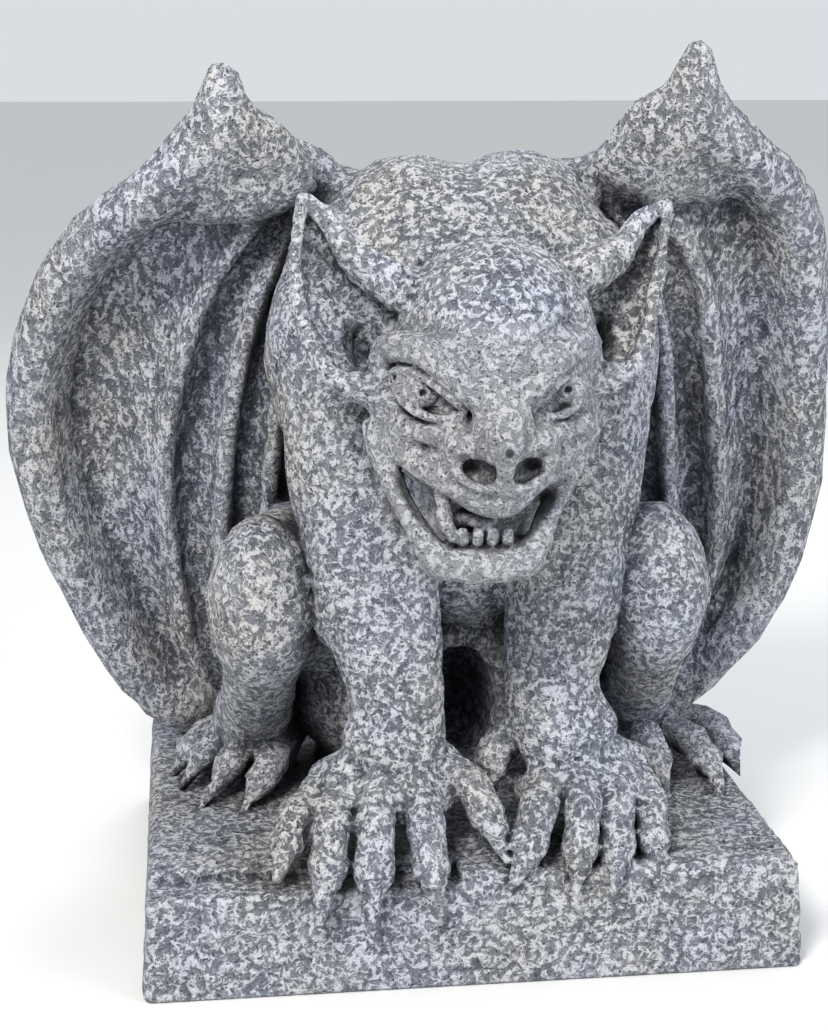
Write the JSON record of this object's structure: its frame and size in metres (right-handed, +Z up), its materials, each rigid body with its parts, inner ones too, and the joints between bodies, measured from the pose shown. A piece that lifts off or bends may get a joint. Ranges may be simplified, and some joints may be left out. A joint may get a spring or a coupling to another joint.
{
  "type": "gargoyle statue",
  "caption": "Crouching winged gargoyle cast in stone on its own rectangular plinth, snarling, hands over the front edge, for a garden, wall cap or roof ledge.",
  "frame": {"origin": "centre of the plinth's underside, on the surface that it stands on", "axes": "+Z up; the gargoyle faces -Y; +X is to the right of a viewer who looks at its face"},
  "size_m": [0.4142, 0.2925, 0.4111],
  "materials": {
    "cast_stone": "rough cast stone, blue-grey with pale brushed high spots and dark hollows"
  },
  "bodies": {
    "root": {"gargoyle": "cast_stone"}
  },
  "joints": []
}
